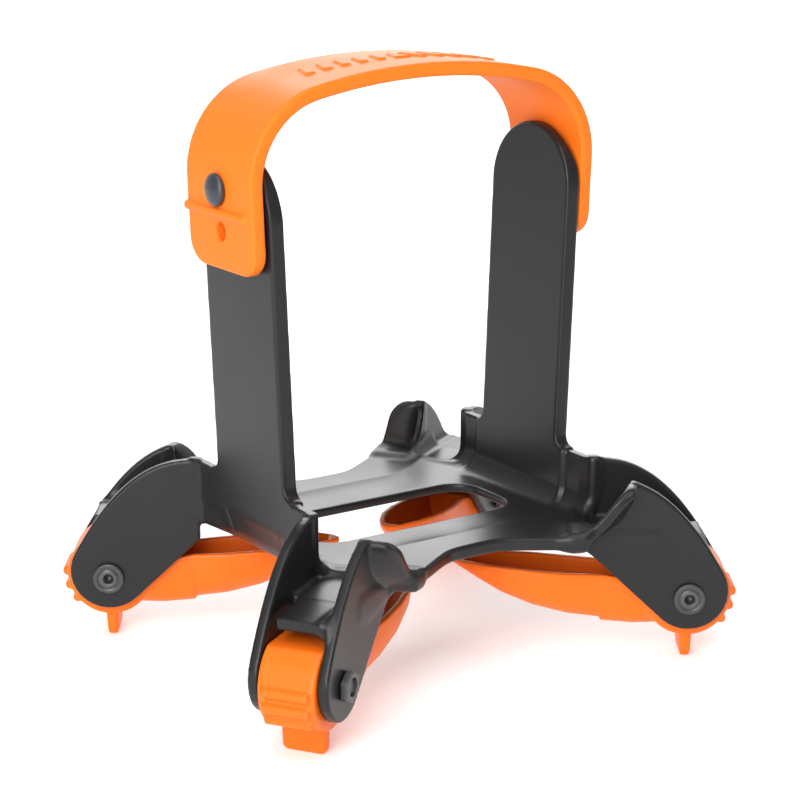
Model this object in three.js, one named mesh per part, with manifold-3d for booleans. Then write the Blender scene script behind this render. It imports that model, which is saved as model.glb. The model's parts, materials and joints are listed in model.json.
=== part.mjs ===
import * as THREE from 'three';
import { mergeVertices } from 'three/addons/utils/BufferGeometryUtils.js';
import Module from 'manifold-3d';

const wasm = await Module();
wasm.setup();

// Driving dimensions in millimetres: X across the foot, Y along it, Z up, ground at 0.
const gap = 0.4;                    // clearance between pieces that touch or turn on each other
const hubX = 84.9;                  // lever pivots from the middle, across the foot
const hubY = 71.3;                  // lever pivots from the middle, along the foot
const hubHeight = 26;               // lever pivots above the ground, so the length of a foot tab
const legAngle = THREE.MathUtils.degToRad(33.9);
const plateTop = 53;                // boot platform above the ground
const plateThickness = 5;
const barEdge = 52;                 // outer edge of the two cross bars
const barStraight = 11;             // half the straight stretch of that edge
const windowHalfLength = 44.7;
const windowHalfWidth = 18.4;
const windowCorner = 12;
const lipReach = 24.5;              // how far the platform's lip stands off the leg's middle plane
const wallX = 63.3;                 // outer face of the side wall at the platform
const wallLean = 0.04;              // outward lean of the wall and its upright
const wallThickness = 6;
const wallHalfWidth = 28;
const wallFootRadius = 12;          // outside rounding where the wall turns under the platform
const wallFilletRadius = 8;
const uprightHalfWidth = 24;
const uprightCrown = 196.6;         // top of the upright
const uprightEdge = 1.8;            // rounding of the upright's edges
const earThickness = 3.9;
const earTipRadius = 14.8;
const earTipLift = 2.2;             // tip arc's middle above the pivot
const earLowerSlope = THREE.MathUtils.degToRad(43.5);
const earTop = 47;                  // highest point of the ear above the pivot
const earTopReach = 33;             // that point's distance inward of the pivot
const earLength = 43;               // inward end of the toe or heel ear from the pivot
const earTurn = 36;                 // inward end of the side ear, where the wall turns into it
const earTopFlat = 21;              // how far the top edge runs level before it falls
const earFallReach = 1.3;           // where the fall steepens, outward of the pivot
const earFallHeight = 30;
const hornReach = 22.7;             // horn's highest point, inward of the pivot
const hornHeight = 45;
const lipThickness = 4.2;
const lipRimReach = 23.6;           // how far the horn's rim stands off the leg's middle plane
const lipFoot = 5.5;                // height of the lip's root at the platform
const lipRimThickness = 0.6;        // how far the rim is drawn in under its edge
const hornRunIn = 7;                // inward of the horn, where its inner edge starts to climb
const hornLead = 2;
const floorDrop = 3;                // leg floor below the platform
const floorRun = 14;                // how far the floor reaches under the platform
const floorStep = 8;                // length of the slope down to the floor
const tongueRoot = 14;              // where the tongue leaves the floor, inward of the pivot
const tongueSlope = 0.1;
const tongueHalfWidth = 8.1;
const tongueEnd = 5.5;              // tongue tip outward of the pivot
const tongueTipThickness = 4.2;
const hubRadius = 16.4;
const hubHalfWidth = 10.6;
const ridgeHeight = 2.2;
const ridgeRadius = 1.9;
const ridgeHalfWidth = 9;
const ridgeAngles = [2, -18, -38];   // degrees below the horizontal on the hub's outer side
const tabHalfWidth = 8.3;
const tabThickness = 5;
const tabFootThickness = 3.6;       // the tab thins towards the ground
const tabCorner = 2.5;
const armLength = 88.5;
const armStep = 32;                 // where the arm's thicker root ends
const armWall = 2.6;
const boltRadius = 3;
const boltHeadRadius = 5.9;
const boltHeadHeight = 1.7;
const socketRadius = 1.9;
const socketDepth = 3;
const nutAcrossCorners = 11.9;
const nutHeight = 2.6;
const bushWall = 1.7;
const strapHalfWidth = 23.3;
const strapThickness = 5.3;
const strapRise = 23.3;             // underside of the strap at its highest, above the upright's crown
const crownRadius = 225;
const strapCornerRadius = 29;
const tailLength = 29.1;            // strap's tail below its stud
const tailCorner = 10;
const strapSideGap = 1;             // strap to upright, side to side
const strapSwing = THREE.MathUtils.degToRad(30);
const studDrop = 13.1;              // stud below the upright's crown
const freeHoleDrop = 15;            // second strap hole below the stud
const strapHoleRadius = 3.4;
const studNeckRadius = 3;
const studHeadRadius = 5.9;
const studHeadHeight = 3.4;
const studRimHeight = 0.8;          // straight edge of the head under its dome
const studSeatDepth = 3.6;
const ribDrop = 8.3;                // pull rib below the stud
const ribRadius = 1.8;
const ribOverhang = 1.1;            // pull rib's end beyond the strap's edge
const ribStandOff = 0.4;
const markCount = 11;               // raised bars along the crown of the strap
const markPitch = 7.6;
const markHalfLength = 5.6;
const markWidth = 3.8;
const markSlant = 0.25;
const markHeight = 0.9;
const sides = 24;

const frameLook = { color: 0x3c3d40, roughness: 0.55, metalness: 0 };
const orangeLook = { color: 0xff7a22, roughness: 0.5, metalness: 0 };
const strapLook = { color: 0xff8430, roughness: 0.6, metalness: 0 };
const hardwareLook = { color: 0x26272a, roughness: 0.4, metalness: 0.3 };
const bushLook = { color: 0x8d9095, roughness: 0.35, metalness: 0.9 };

// Sizes worked out from the ones above.
const earInner = hubHalfWidth + gap;
const earOuter = earInner + earThickness;
const platformRise = plateTop - hubHeight;
const plateBottom = plateTop - plateThickness;
const studHeight = uprightCrown - studDrop;
const strapTailEnd = studHeight - tailLength;
const strapCrown = uprightCrown + strapRise;
const boltHole = boltRadius + gap;
const bushOuter = boltHole + bushWall;
const tongueClearance = hubRadius + ridgeHeight + gap;

const wallXAt = (z) => wallX + wallLean * (z - plateTop);

function toSolid(geometry) {
  const bare = geometry.clone();
  bare.deleteAttribute('normal');
  bare.deleteAttribute('uv');
  const merged = mergeVertices(bare, 1e-4);
  const vertProperties = new Float32Array(merged.attributes.position.array);
  const triVerts = new Uint32Array(merged.index.array);
  return new wasm.Manifold(new wasm.Mesh({ numProp: 3, vertProperties, triVerts }));
}

function toGeometry(solid) {
  const mesh = solid.getMesh();
  const geometry = new THREE.BufferGeometry();
  geometry.setAttribute('position', new THREE.BufferAttribute(new Float32Array(mesh.vertProperties), 3));
  geometry.setIndex(new THREE.BufferAttribute(new Uint32Array(mesh.triVerts), 1));
  return geometry;
}

function join(geometries) {
  return geometries.map(toSolid).reduce((whole, piece) => whole.add(piece));
}

// A flat outline of [a, b] points given a thickness along a third direction.
function slab(outline, from, to, toWorld) {
  const shape = outline instanceof THREE.Shape ? outline : outlineShape(outline);
  const geometry = new THREE.ExtrudeGeometry(shape, { depth: to - from, bevelEnabled: false, curveSegments: 8 });
  geometry.translate(0, 0, from);
  geometry.applyMatrix4(toWorld);
  return geometry;
}

function outlineShape(points) {
  return new THREE.Shape(points.map(([a, b]) => new THREE.Vector2(a, b)));
}

// A closed skin over rings of points; every ring has the same number of points.
function loft(rings) {
  const count = rings[0].length;
  const positions = rings.flat().flatMap((point) => [point.x, point.y, point.z]);
  const index = [];
  for (let ring = 0; ring < rings.length - 1; ring += 1) {
    for (let k = 0; k < count; k += 1) {
      const a = ring * count + k;
      const b = ring * count + ((k + 1) % count);
      index.push(a, b, b + count, a, b + count, a + count);
    }
  }
  const last = (rings.length - 1) * count;
  for (let k = 1; k < count - 1; k += 1) {
    index.push(0, k + 1, k, last, last + k, last + k + 1);
  }
  const geometry = new THREE.BufferGeometry();
  geometry.setAttribute('position', new THREE.Float32BufferAttribute(positions, 3));
  geometry.setIndex(index);
  return geometry;
}

// The same solid seen in a mirror that flips X, Y or both.
function mirrored(geometry, signX, signY) {
  const copy = geometry.clone().scale(signX, signY, 1);
  if (signX * signY < 0) {
    const index = copy.index.array;
    for (let k = 0; k < index.length; k += 3) {
      [index[k + 1], index[k + 2]] = [index[k + 2], index[k + 1]];
    }
  }
  return copy;
}

// Leg space is (outward from the pivot, up from the pivot, sideways towards the toe or heel).
// The leg at +X +Y is made first and the other three are its mirror images.
const legFrame = new THREE.Matrix4()
  .makeBasis(
    new THREE.Vector3(Math.cos(legAngle), Math.sin(legAngle), 0),
    new THREE.Vector3(0, 0, 1),
    new THREE.Vector3(Math.sin(legAngle), -Math.cos(legAngle), 0),
  )
  .setPosition(hubX, hubY, hubHeight);

const legPoint = (outward, up, inboard) => new THREE.Vector3(outward, up, inboard).applyMatrix4(legFrame);

const legCylinder = (radius, from, to, outward = 0, up = 0, segments = sides) => {
  const geometry = new THREE.CylinderGeometry(radius, radius, to - from, segments);
  geometry.rotateX(Math.PI / 2);
  geometry.translate(outward, up, (from + to) / 2);
  return geometry.applyMatrix4(legFrame);
};

const tipArcStart = THREE.MathUtils.degToRad(30);

// Top edge of an ear: a falling curve from its high point to the tip arc.
const earCurve = new THREE.CubicBezierCurve(
  new THREE.Vector2(-earTopReach, earTop),
  new THREE.Vector2(-earTopReach + earTopFlat, earTop),
  new THREE.Vector2(earFallReach, earFallHeight),
  new THREE.Vector2(earTipRadius * Math.cos(tipArcStart), earTipLift + earTipRadius * Math.sin(tipArcStart)),
);

function earTipArc() {
  const start = tipArcStart;
  const end = -Math.PI / 2 - earLowerSlope;
  const points = [];
  const steps = 12;
  for (let k = 1; k <= steps; k += 1) {
    const angle = start + ((end - start) * k) / steps;
    points.push([earTipRadius * Math.cos(angle), earTipLift + earTipRadius * Math.sin(angle)]);
  }
  return points;
}

// Lower edge of an ear: a straight climb from the tip arc, ended this far inward of the pivot.
function lowerEdgeEnd(length) {
  const [outward, up] = earTipArc().at(-1);
  return [-length, up + (outward + length) * Math.tan(earLowerSlope)];
}

function earOutline(innerEdge) {
  const top = earCurve.getPoints(14).filter((point) => point.x >= innerEdge.at(-1)[0]);
  const lowEnd = lowerEdgeEnd(-innerEdge[0][0]);
  return [...innerEdge, ...top.map((point) => [point.x, point.y]), ...earTipArc(), lowEnd];
}

const wallEar = () => slab(earOutline([[-earTurn, earTop]]), earInner, earOuter, legFrame);

// The toe or heel ear climbs from the platform's lip to a horn before it falls to the tip.
const hornRise = new THREE.CubicBezierCurve(
  new THREE.Vector2(-earLength, platformRise),
  new THREE.Vector2(-hornReach - hornRunIn, platformRise),
  new THREE.Vector2(-hornReach - hornLead, platformRise + lipFoot),
  new THREE.Vector2(-hornReach, hornHeight),
);

function hornEar() {
  const inner = hornRise.getPoints(8).map((point) => [point.x, point.y]);
  return slab(earOutline(inner), -earOuter, -earInner, legFrame);
}

// The lip's outer rim and its root on the ear, both from the platform's corner to the horn.
const lipStart = earLength + 2 * gap;
const lipRim = new THREE.CubicBezierCurve(
  new THREE.Vector2(-lipStart, platformRise),
  new THREE.Vector2(-hornReach - hornRunIn - 3, platformRise),
  new THREE.Vector2(-hornReach - hornLead - 3, platformRise + lipFoot),
  new THREE.Vector2(-hornReach - hornLead, hornHeight),
);
const lipRoot = new THREE.CubicBezierCurve(
  new THREE.Vector2(-lipStart, platformRise - lipFoot),
  new THREE.Vector2(-hornReach - 3, platformRise - lipFoot + 1),
  new THREE.Vector2(-hornReach + 10.5, hornHeight - 9),
  new THREE.Vector2(-hornReach + 0.7, hornHeight - 1),
);

// The lip flares out from the ear's outer face and curls up from the platform to the horn.
function hornLip() {
  const rings = [];
  const steps = 9;
  for (let k = 0; k <= steps; k += 1) {
    const part = k / steps;
    const crest = hornRise.getPoint(part);
    const root = lipRoot.getPoint(part);
    const rim = lipRim.getPoint(part);
    const reach = THREE.MathUtils.lerp(lipReach - gap, lipRimReach, part);
    const under = root.clone().sub(crest).setLength(lipThickness).add(rim);
    rings.push([
      legPoint(root.x, root.y, -earOuter + 1),
      legPoint(under.x, under.y, -reach + lipRimThickness),
      legPoint(rim.x, rim.y, -reach),
      legPoint(Math.min(crest.x, rim.x + 2), crest.y, -earInner - 0.5),
    ]);
  }
  return loft(rings);
}

// Floor between the ears, thinning to a springy tongue that ends over the lever's hub.
function legFloor() {
  const floorTop = platformRise - floorDrop;
  const underside = (outward) => tongueClearance + tongueSlope * (tongueEnd - outward);
  const profile = [
    [-earLength - floorRun, platformRise],
    [-earLength, platformRise],
    [-earLength + floorStep, floorTop],
    [-tongueRoot, floorTop],
    [-tongueRoot, underside(-tongueRoot)],
    [-tongueRoot - plateThickness, floorTop - plateThickness],
    [-earLength, platformRise - plateThickness],
    [-earLength - floorRun, platformRise - plateThickness],
  ].reverse();
  const tongueTop = underside(tongueEnd) + tongueTipThickness;
  const tongue = [
    [-tongueRoot - 1, floorTop],
    [-tongueRoot - 1, underside(-tongueRoot - 1)],
    [tongueEnd, underside(tongueEnd)],
    [tongueEnd, tongueTop],
  ];
  return [
    slab(profile, -earInner - 1, earInner + 1, legFrame),
    slab(tongue, -tongueHalfWidth, tongueHalfWidth, legFrame),
  ];
}

// Where the side wall bends outward into the ear, its lower edge carrying on the ear's slope.
function wallTurn() {
  const wallEnd = wallHalfWidth - uprightEdge - gap;
  const inset = gap / 2;
  const overlap = 2 * gap;
  const high = earTop + hubHeight;
  const outerPoint = legPoint(-earTurn + overlap, 0, earOuter);
  const innerPoint = legPoint(-earTurn + overlap, 0, earInner);
  const bend = wallHalfWidth + wallThickness / 2;
  const ring = (wallZ, earZ) => {
    const outerX = wallXAt(wallZ) - inset;
    return [
      new THREE.Vector3(outerX, wallEnd, wallZ),
      new THREE.Vector3(outerPoint.x, outerPoint.y, earZ),
      new THREE.Vector3(innerPoint.x, innerPoint.y, earZ),
      new THREE.Vector3(outerX - earThickness, bend, wallZ),
      new THREE.Vector3(outerX - wallThickness + 2 * inset, wallEnd, wallZ),
    ];
  };
  return loft([ring(plateBottom, lowerEdgeEnd(earTurn)[1] + hubHeight), ring(high, high)]);
}

function legSolid() {
  const pieces = [wallEar(), hornEar(), hornLip(), ...legFloor()];
  const hole = toSolid(legCylinder(boltHole, -earOuter - 5, earOuter + 5));
  return toGeometry(join(pieces).subtract(hole));
}

function platformOutline() {
  const corner = legPoint(-earLength + 3, 0, -lipReach);
  const across = legPoint(-earLength + 3, 0, earInner + 1);
  const flatX = barStraight;
  const quarter = [[corner.x, corner.y], [across.x, across.y], [wallX - wallFootRadius * 0.6, wallHalfWidth]];
  const half = [[flatX, barEdge], ...quarter];
  const right = [...half, ...half.map(([x, y]) => [x, -y]).reverse()];
  return [...right, ...right.map(([x, y]) => [-x, y]).reverse()];
}

function platform() {
  const shape = outlineShape(platformOutline());
  const hole = new THREE.Path();
  const x = windowHalfLength - windowCorner;
  const y = windowHalfWidth - windowCorner;
  hole.absarc(x, y, windowCorner, 0, Math.PI / 2);
  hole.absarc(-x, y, windowCorner, Math.PI / 2, Math.PI);
  hole.absarc(-x, -y, windowCorner, Math.PI, Math.PI * 1.5);
  hole.absarc(x, -y, windowCorner, Math.PI * 1.5, Math.PI * 2);
  shape.holes.push(hole);
  return slab(shape, plateBottom, plateTop, new THREE.Matrix4());
}

// Wall and upright in one outline seen from the side, leaned outward as they rise.
function uprightWall() {
  const low = plateBottom;
  const shoulder = earTop + hubHeight;
  const flare = wallHalfWidth - uprightHalfWidth;
  const crownCentre = uprightCrown - uprightHalfWidth;
  const shape = new THREE.Shape();
  shape.moveTo(-wallHalfWidth, low);
  shape.lineTo(wallHalfWidth, low);
  shape.lineTo(wallHalfWidth, shoulder);
  shape.absarc(wallHalfWidth, shoulder + flare, flare, -Math.PI / 2, -Math.PI, true);
  shape.absarc(0, crownCentre, uprightHalfWidth, 0, Math.PI);
  shape.absarc(-wallHalfWidth, shoulder + flare, flare, 0, -Math.PI / 2, true);
  const across = new THREE.Matrix4().makeBasis(
    new THREE.Vector3(0, 1, 0),
    new THREE.Vector3(wallLean, 0, 1),
    new THREE.Vector3(1, 0, 0),
  ).setPosition(wallX - wallLean * plateTop, 0, 0);
  const geometry = new THREE.ExtrudeGeometry(shape, {
    depth: wallThickness - 2 * uprightEdge,
    bevelSize: uprightEdge,
    bevelThickness: uprightEdge,
    bevelOffset: -uprightEdge,
    bevelSegments: 2,
    curveSegments: 12,
  });
  return geometry.translate(0, 0, uprightEdge - wallThickness).applyMatrix4(across);
}

// Block that takes off the wall's outer corner, leaving it to turn in under the platform.
function wallFoot() {
  const outer = wallXAt(plateBottom);
  const beyond = outer + wallThickness;
  const shape = new THREE.Shape();
  shape.moveTo(beyond, plateBottom - wallFootRadius);
  shape.lineTo(beyond, plateBottom + wallFootRadius);
  shape.lineTo(outer, plateBottom + wallFootRadius);
  shape.absarc(outer - wallFootRadius, plateBottom + wallFootRadius, wallFootRadius, 0, -Math.PI / 2, true);
  shape.lineTo(outer - wallFootRadius, plateBottom - wallFootRadius);
  const reach = hubY;
  const geometry = new THREE.ExtrudeGeometry(shape, { depth: 2 * reach, bevelEnabled: false, curveSegments: 8 });
  return geometry.rotateX(Math.PI / 2).translate(0, reach, 0);
}

// Concave fillet between platform and side wall.
function wallFillet() {
  const inner = wallXAt(plateTop) - wallThickness + 0.5;
  const shape = new THREE.Shape();
  shape.moveTo(inner, plateTop - 1);
  shape.lineTo(inner, plateTop + wallFilletRadius);
  shape.absarc(inner - wallFilletRadius, plateTop + wallFilletRadius, wallFilletRadius, 0, -Math.PI / 2, true);
  shape.lineTo(inner - wallFilletRadius, plateTop - 1);
  const geometry = new THREE.ExtrudeGeometry(shape, {
    depth: 2 * wallHalfWidth, bevelEnabled: false, curveSegments: 6,
  });
  return geometry.rotateX(Math.PI / 2).translate(0, wallHalfWidth, 0);
}

const crossPost = (radius, fromX, toX, z, segments = sides) => new THREE
  .CylinderGeometry(radius, radius, toX - fromX, segments)
  .rotateZ(Math.PI / 2)
  .translate((fromX + toX) / 2, 0, z);

function frameGeometry() {
  const leg = legSolid();
  const turn = wallTurn();
  const wall = join([uprightWall(), wallFillet(), turn, mirrored(turn, 1, -1)]);
  const side = toGeometry(wall.subtract(toSolid(wallFoot())).subtract(strapRoom()));
  const faceX = wallXAt(studHeight);
  const seat = crossPost(studNeckRadius + gap / 2, faceX - studSeatDepth - gap, faceX + 5, studHeight);
  let body = toSolid(platform());
  for (const signX of [1, -1]) {
    body = body.add(toSolid(mirrored(side, signX, 1)));
    for (const signY of [1, -1]) {
      body = body.add(toSolid(mirrored(leg, signX, signY)));
    }
    body = body.subtract(toSolid(mirrored(seat, signX, 1)));
  }
  return toGeometry(body);
}

// U-shaped ring of the lever's arm at one distance from the pivot.
function armRing(outward, halfWidth, bottom, rim) {
  const points = [];
  const steps = 10;
  for (let k = 0; k <= steps; k += 1) {
    const angle = (Math.PI * k) / steps;
    const across = -halfWidth * Math.sign(Math.cos(angle)) * Math.abs(Math.cos(angle)) ** 0.6;
    const up = rim - (rim - bottom) * Math.sin(angle) ** 0.75;
    points.push(legPoint(-outward, up, across));
  }
  return points;
}

// Half width, underside and rim of the arm, from its step to its tip.
const armStations = [
  [armStep, hubHalfWidth, -12, 7.6],
  [armStep + 13, hubHalfWidth + 1.4, -10.2, 8.4],
  [armStep + 26, hubHalfWidth + 1.5, -6.7, 9.6],
  [armStep + 38, hubHalfWidth, -1.6, 10.6],
  [armStep + 47, hubHalfWidth * 0.74, 3.8, 11.2],
  [armStep + 53.5, hubHalfWidth * 0.42, 8, 11.4],
  [armLength, 1.4, 10.4, 11.4],
];

function armSolids() {
  const root = loft([
    armRing(4, hubHalfWidth, -13.4, 3),
    armRing(20, hubHalfWidth, -14, 5.6),
    armRing(armStep + 0.5, hubHalfWidth, -13, 7.6),
  ]);
  const blade = loft(armStations.map((station) => armRing(...station)));
  const hollow = armStations
    .slice(0, -2)
    .map(([outward, halfWidth, bottom, rim]) => [outward, halfWidth - armWall, bottom + armWall, rim + 0.8]);
  const cavity = loft([
    armRing(hubRadius + 5, hubHalfWidth - armWall, -6, 8),
    ...hollow.map((station) => armRing(...station)),
    armRing(armStep + 50, 3.4, 9.2, 12),
  ]);
  return { solid: join([root, blade]), cavity: toSolid(cavity) };
}

// Flat foot tab under the hub, its lower corners rounded.
function footTab() {
  const shape = new THREE.Shape();
  shape.moveTo(-tabHalfWidth, -hubRadius / 2);
  shape.lineTo(-tabHalfWidth, -hubHeight + tabCorner);
  shape.absarc(-tabHalfWidth + tabCorner, -hubHeight + tabCorner, tabCorner, Math.PI, Math.PI * 1.5);
  shape.absarc(tabHalfWidth - tabCorner, -hubHeight + tabCorner, tabCorner, -Math.PI / 2, 0);
  shape.lineTo(tabHalfWidth, -hubRadius / 2);
  const geometry = new THREE.ExtrudeGeometry(shape, { depth: tabThickness, bevelEnabled: false, curveSegments: 4 });
  geometry.translate(0, 0, -tabThickness / 2).rotateY(Math.PI / 2);
  const spots = geometry.attributes.position;
  for (let k = 0; k < spots.count; k += 1) {
    const drop = THREE.MathUtils.clamp((-hubRadius / 2 - spots.getY(k)) / (hubHeight - hubRadius / 2), 0, 1);
    spots.setX(k, spots.getX(k) * THREE.MathUtils.lerp(1, tabFootThickness / tabThickness, drop));
  }
  return geometry.applyMatrix4(legFrame);
}

function leverGeometry() {
  const ridges = ridgeAngles.map((degrees) => {
    const angle = THREE.MathUtils.degToRad(degrees);
    const radius = hubRadius + ridgeHeight - ridgeRadius;
    const outward = radius * Math.cos(angle);
    return legCylinder(ridgeRadius, -ridgeHalfWidth, ridgeHalfWidth, outward, radius * Math.sin(angle), 12);
  });
  const { solid, cavity } = armSolids();
  const hub = toSolid(legCylinder(hubRadius, -hubHalfWidth, hubHalfWidth, 0, 0, 40));
  const bore = toSolid(legCylinder(bushOuter + gap, -hubHalfWidth - 1, hubHalfWidth + 1));
  return toGeometry(solid.add(hub).subtract(cavity).add(join([footTab(), ...ridges])).subtract(bore));
}

const bushGeometry = () => {
  const tube = toSolid(legCylinder(bushOuter, -earInner + gap / 2, earInner - gap / 2));
  return toGeometry(tube.subtract(toSolid(legCylinder(boltHole, -earOuter, earOuter))));
};

// Round head and socket on one ear, shank through both, its end just inside the nut.
function boltGeometry(headSide) {
  const head = earOuter + gap;
  const tip = -earOuter - gap - nutHeight + 0.8;
  const range = (a, b) => [Math.min(a * headSide, b * headSide), Math.max(a * headSide, b * headSide)];
  const shank = toSolid(legCylinder(boltRadius, ...range(tip, head + 0.5)));
  const cap = toSolid(legCylinder(boltHeadRadius, ...range(head, head + boltHeadHeight)));
  const socket = legCylinder(socketRadius, ...range(head + boltHeadHeight - socketDepth, head + boltHeadHeight + 1));
  return toGeometry(shank.add(cap).subtract(toSolid(socket)));
}

function nutGeometry(headSide) {
  const near = -(earOuter + gap) * headSide;
  const far = -(earOuter + gap + nutHeight) * headSide;
  const from = Math.min(near, far);
  const to = Math.max(near, far);
  const hexagon = toSolid(legCylinder(nutAcrossCorners / 2, from, to, 0, 0, 6));
  return toGeometry(hexagon.subtract(toSolid(legCylinder(boltHole, from - 1, to + 1))));
}

// Underside of the strap: straight leaning sides, corner arcs and a shallow crown.
const strapInnerX = (z) => wallXAt(z) + strapSideGap;

function strapCorner() {
  const crownCentre = strapCrown - crownRadius;
  const reach = crownRadius - strapCornerRadius;
  let centreZ = strapCrown - strapCornerRadius - 5;
  let centreX = 0;
  for (let k = 0; k < 8; k += 1) {
    centreX = strapInnerX(centreZ) - strapCornerRadius * Math.hypot(1, wallLean);
    centreZ = crownCentre + Math.sqrt(reach ** 2 - centreX ** 2);
  }
  return { centreX, centreZ, crownCentre };
}

function strapSide(offset) {
  const { centreX, centreZ, crownCentre } = strapCorner();
  const lean = Math.atan(wallLean);
  const meet = Math.atan2(centreZ - crownCentre, centreX);
  const points = [[strapInnerX(strapTailEnd) + offset / Math.cos(lean), strapTailEnd]];
  const steps = 9;
  for (let k = 0; k <= steps; k += 1) {
    const angle = -lean + ((meet + lean) * k) / steps;
    const radius = strapCornerRadius + offset;
    points.push([centreX + radius * Math.cos(angle), centreZ + radius * Math.sin(angle)]);
  }
  for (let k = 1; k <= 4; k += 1) {
    const angle = meet + ((Math.PI / 2 - meet) * k) / 4;
    points.push([(crownRadius + offset) * Math.cos(angle), crownCentre + (crownRadius + offset) * Math.sin(angle)]);
  }
  return points;
}

// The strap's arch across the foot, its inner surface moved out by the offset.
function strapBand(offset, halfWidth) {
  const mirror = (points) => points.slice(0, -1).reverse().map(([x, z]) => [-x, z]);
  const full = (points) => [...points, ...mirror(points)];
  const profile = [...full(strapSide(strapThickness)), ...full(strapSide(offset)).reverse()];
  const across = new THREE.Matrix4().makeBasis(
    new THREE.Vector3(1, 0, 0),
    new THREE.Vector3(0, 0, 1),
    new THREE.Vector3(0, -1, 0),
  );
  return toSolid(slab(profile, -halfWidth, halfWidth, across));
}

// Side view of the strap's tails: rounded lower corners, open above.
function tailOutline() {
  const shape = new THREE.Shape();
  shape.moveTo(-strapHalfWidth, strapCrown + 20);
  shape.lineTo(-strapHalfWidth, strapTailEnd + tailCorner);
  shape.absarc(-strapHalfWidth + tailCorner, strapTailEnd + tailCorner, tailCorner, Math.PI, Math.PI * 1.5);
  shape.absarc(strapHalfWidth - tailCorner, strapTailEnd + tailCorner, tailCorner, Math.PI * 1.5, Math.PI * 2);
  shape.lineTo(strapHalfWidth, strapCrown + 20);
  const acrossX = new THREE.Matrix4().makeBasis(
    new THREE.Vector3(0, 1, 0),
    new THREE.Vector3(0, 0, 1),
    new THREE.Vector3(1, 0, 0),
  );
  return slab(shape, -wallX - 40, wallX + 40, acrossX);
}

// Raised bars across the crown, following its curve.
function crownMarks() {
  const { crownCentre } = strapCorner();
  const marks = [];
  for (let k = 0; k < markCount; k += 1) {
    const angle = ((k - (markCount - 1) / 2) * markPitch) / (crownRadius + strapThickness);
    const bar = new THREE.BoxGeometry(markWidth, 2 * markHalfLength, 2 * markHeight);
    bar.rotateZ(markSlant).translate(0, 0, crownRadius + strapThickness).rotateY(angle).translate(0, 0, crownCentre);
    marks.push(bar);
  }
  return marks;
}

// Room for the strap over the upright's crown, from one end of its swing to the other.
function strapRoom() {
  const band = toGeometry(strapBand(-gap, wallHalfWidth)).translate(0, 0, -studHeight);
  const turns = [-1, -0.5, 0, 0.5, 1];
  return join(turns.map((part) => band.clone().rotateX(part * strapSwing).translate(0, 0, studHeight)));
}

function strapGeometry() {
  let body = strapBand(0, strapHalfWidth).intersect(toSolid(tailOutline()));
  const faceX = strapInnerX(studHeight);
  const ribZ = studHeight - ribDrop;
  const rib = new THREE.CylinderGeometry(ribRadius, ribRadius, 2 * strapHalfWidth - 2 * ribOverhang, 12)
    .translate(strapInnerX(ribZ) + strapThickness + ribStandOff, ribOverhang, ribZ);
  const holes = [studHeight, studHeight - freeHoleDrop]
    .map((z) => crossPost(strapHoleRadius, faceX - 6, faceX + 14, z, 24));
  for (const sign of [1, -1]) {
    body = body.add(toSolid(mirrored(rib, sign, 1)));
    for (const hole of holes) {
      body = body.subtract(toSolid(mirrored(hole, sign, 1)));
    }
  }
  return toGeometry(body.add(join(crownMarks())));
}

// Mushroom stud: pressed into the upright, neck through the strap, domed head outside it.
function studGeometry() {
  const seat = wallXAt(studHeight) - studSeatDepth;
  const headStart = strapInnerX(studHeight) + strapThickness + gap;
  const profile = [new THREE.Vector2(0, seat), new THREE.Vector2(studNeckRadius, seat)];
  profile.push(new THREE.Vector2(studNeckRadius, headStart), new THREE.Vector2(studHeadRadius, headStart));
  const domeSteps = 4;
  for (let k = 1; k <= domeSteps; k += 1) {
    const angle = (Math.PI / 2) * (k / domeSteps);
    const rise = studRimHeight + (studHeadHeight - studRimHeight) * Math.sin(angle);
    profile.push(new THREE.Vector2(studHeadRadius * Math.cos(angle), headStart + rise));
  }
  profile[profile.length - 1].x = 0;
  return new THREE.LatheGeometry(profile, sides).rotateZ(-Math.PI / 2).translate(0, 0, studHeight);
}

const object = new THREE.Group();

function addPart(name, geometry, look) {
  const shown = geometry.index ? geometry.toNonIndexed() : geometry;
  shown.computeVertexNormals();
  const mesh = new THREE.Mesh(shown, new THREE.MeshStandardMaterial(look));
  mesh.name = name;
  object.add(mesh);
}

addPart('base_frame', frameGeometry(), frameLook);
addPart('instep_strap', strapGeometry(), strapLook);

for (const [side, sign] of [['left', -1], ['right', 1]]) {
  addPart(`strap_stud_${side}`, mirrored(mergeVertices(studGeometry()), sign, 1), hardwareLook);
}

const lever = leverGeometry();
const bush = bushGeometry();
const legs = [
  ['toe_right', 1, 1],
  ['toe_left', -1, 1],
  ['heel_right', 1, -1],
  ['heel_left', -1, -1],
];

for (const [place, signX, signY] of legs) {
  // The bolts' heads face sideways on the left legs and to toe or heel on the right ones.
  const headSide = signX < 0 ? 1 : -1;
  addPart(`claw_lever_${place}`, mirrored(lever, signX, signY), orangeLook);
  addPart(`lever_bush_${place}`, mirrored(bush, signX, signY), bushLook);
  addPart(`pivot_bolt_${place}`, mirrored(boltGeometry(headSide), signX, signY), hardwareLook);
  addPart(`pivot_nut_${place}`, mirrored(nutGeometry(headSide), signX, signY), hardwareLook);
}

export default object;
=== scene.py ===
import json
import math

import bmesh
import bpy
import numpy as np
import openvdb
from mathutils import Matrix, Vector


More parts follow.
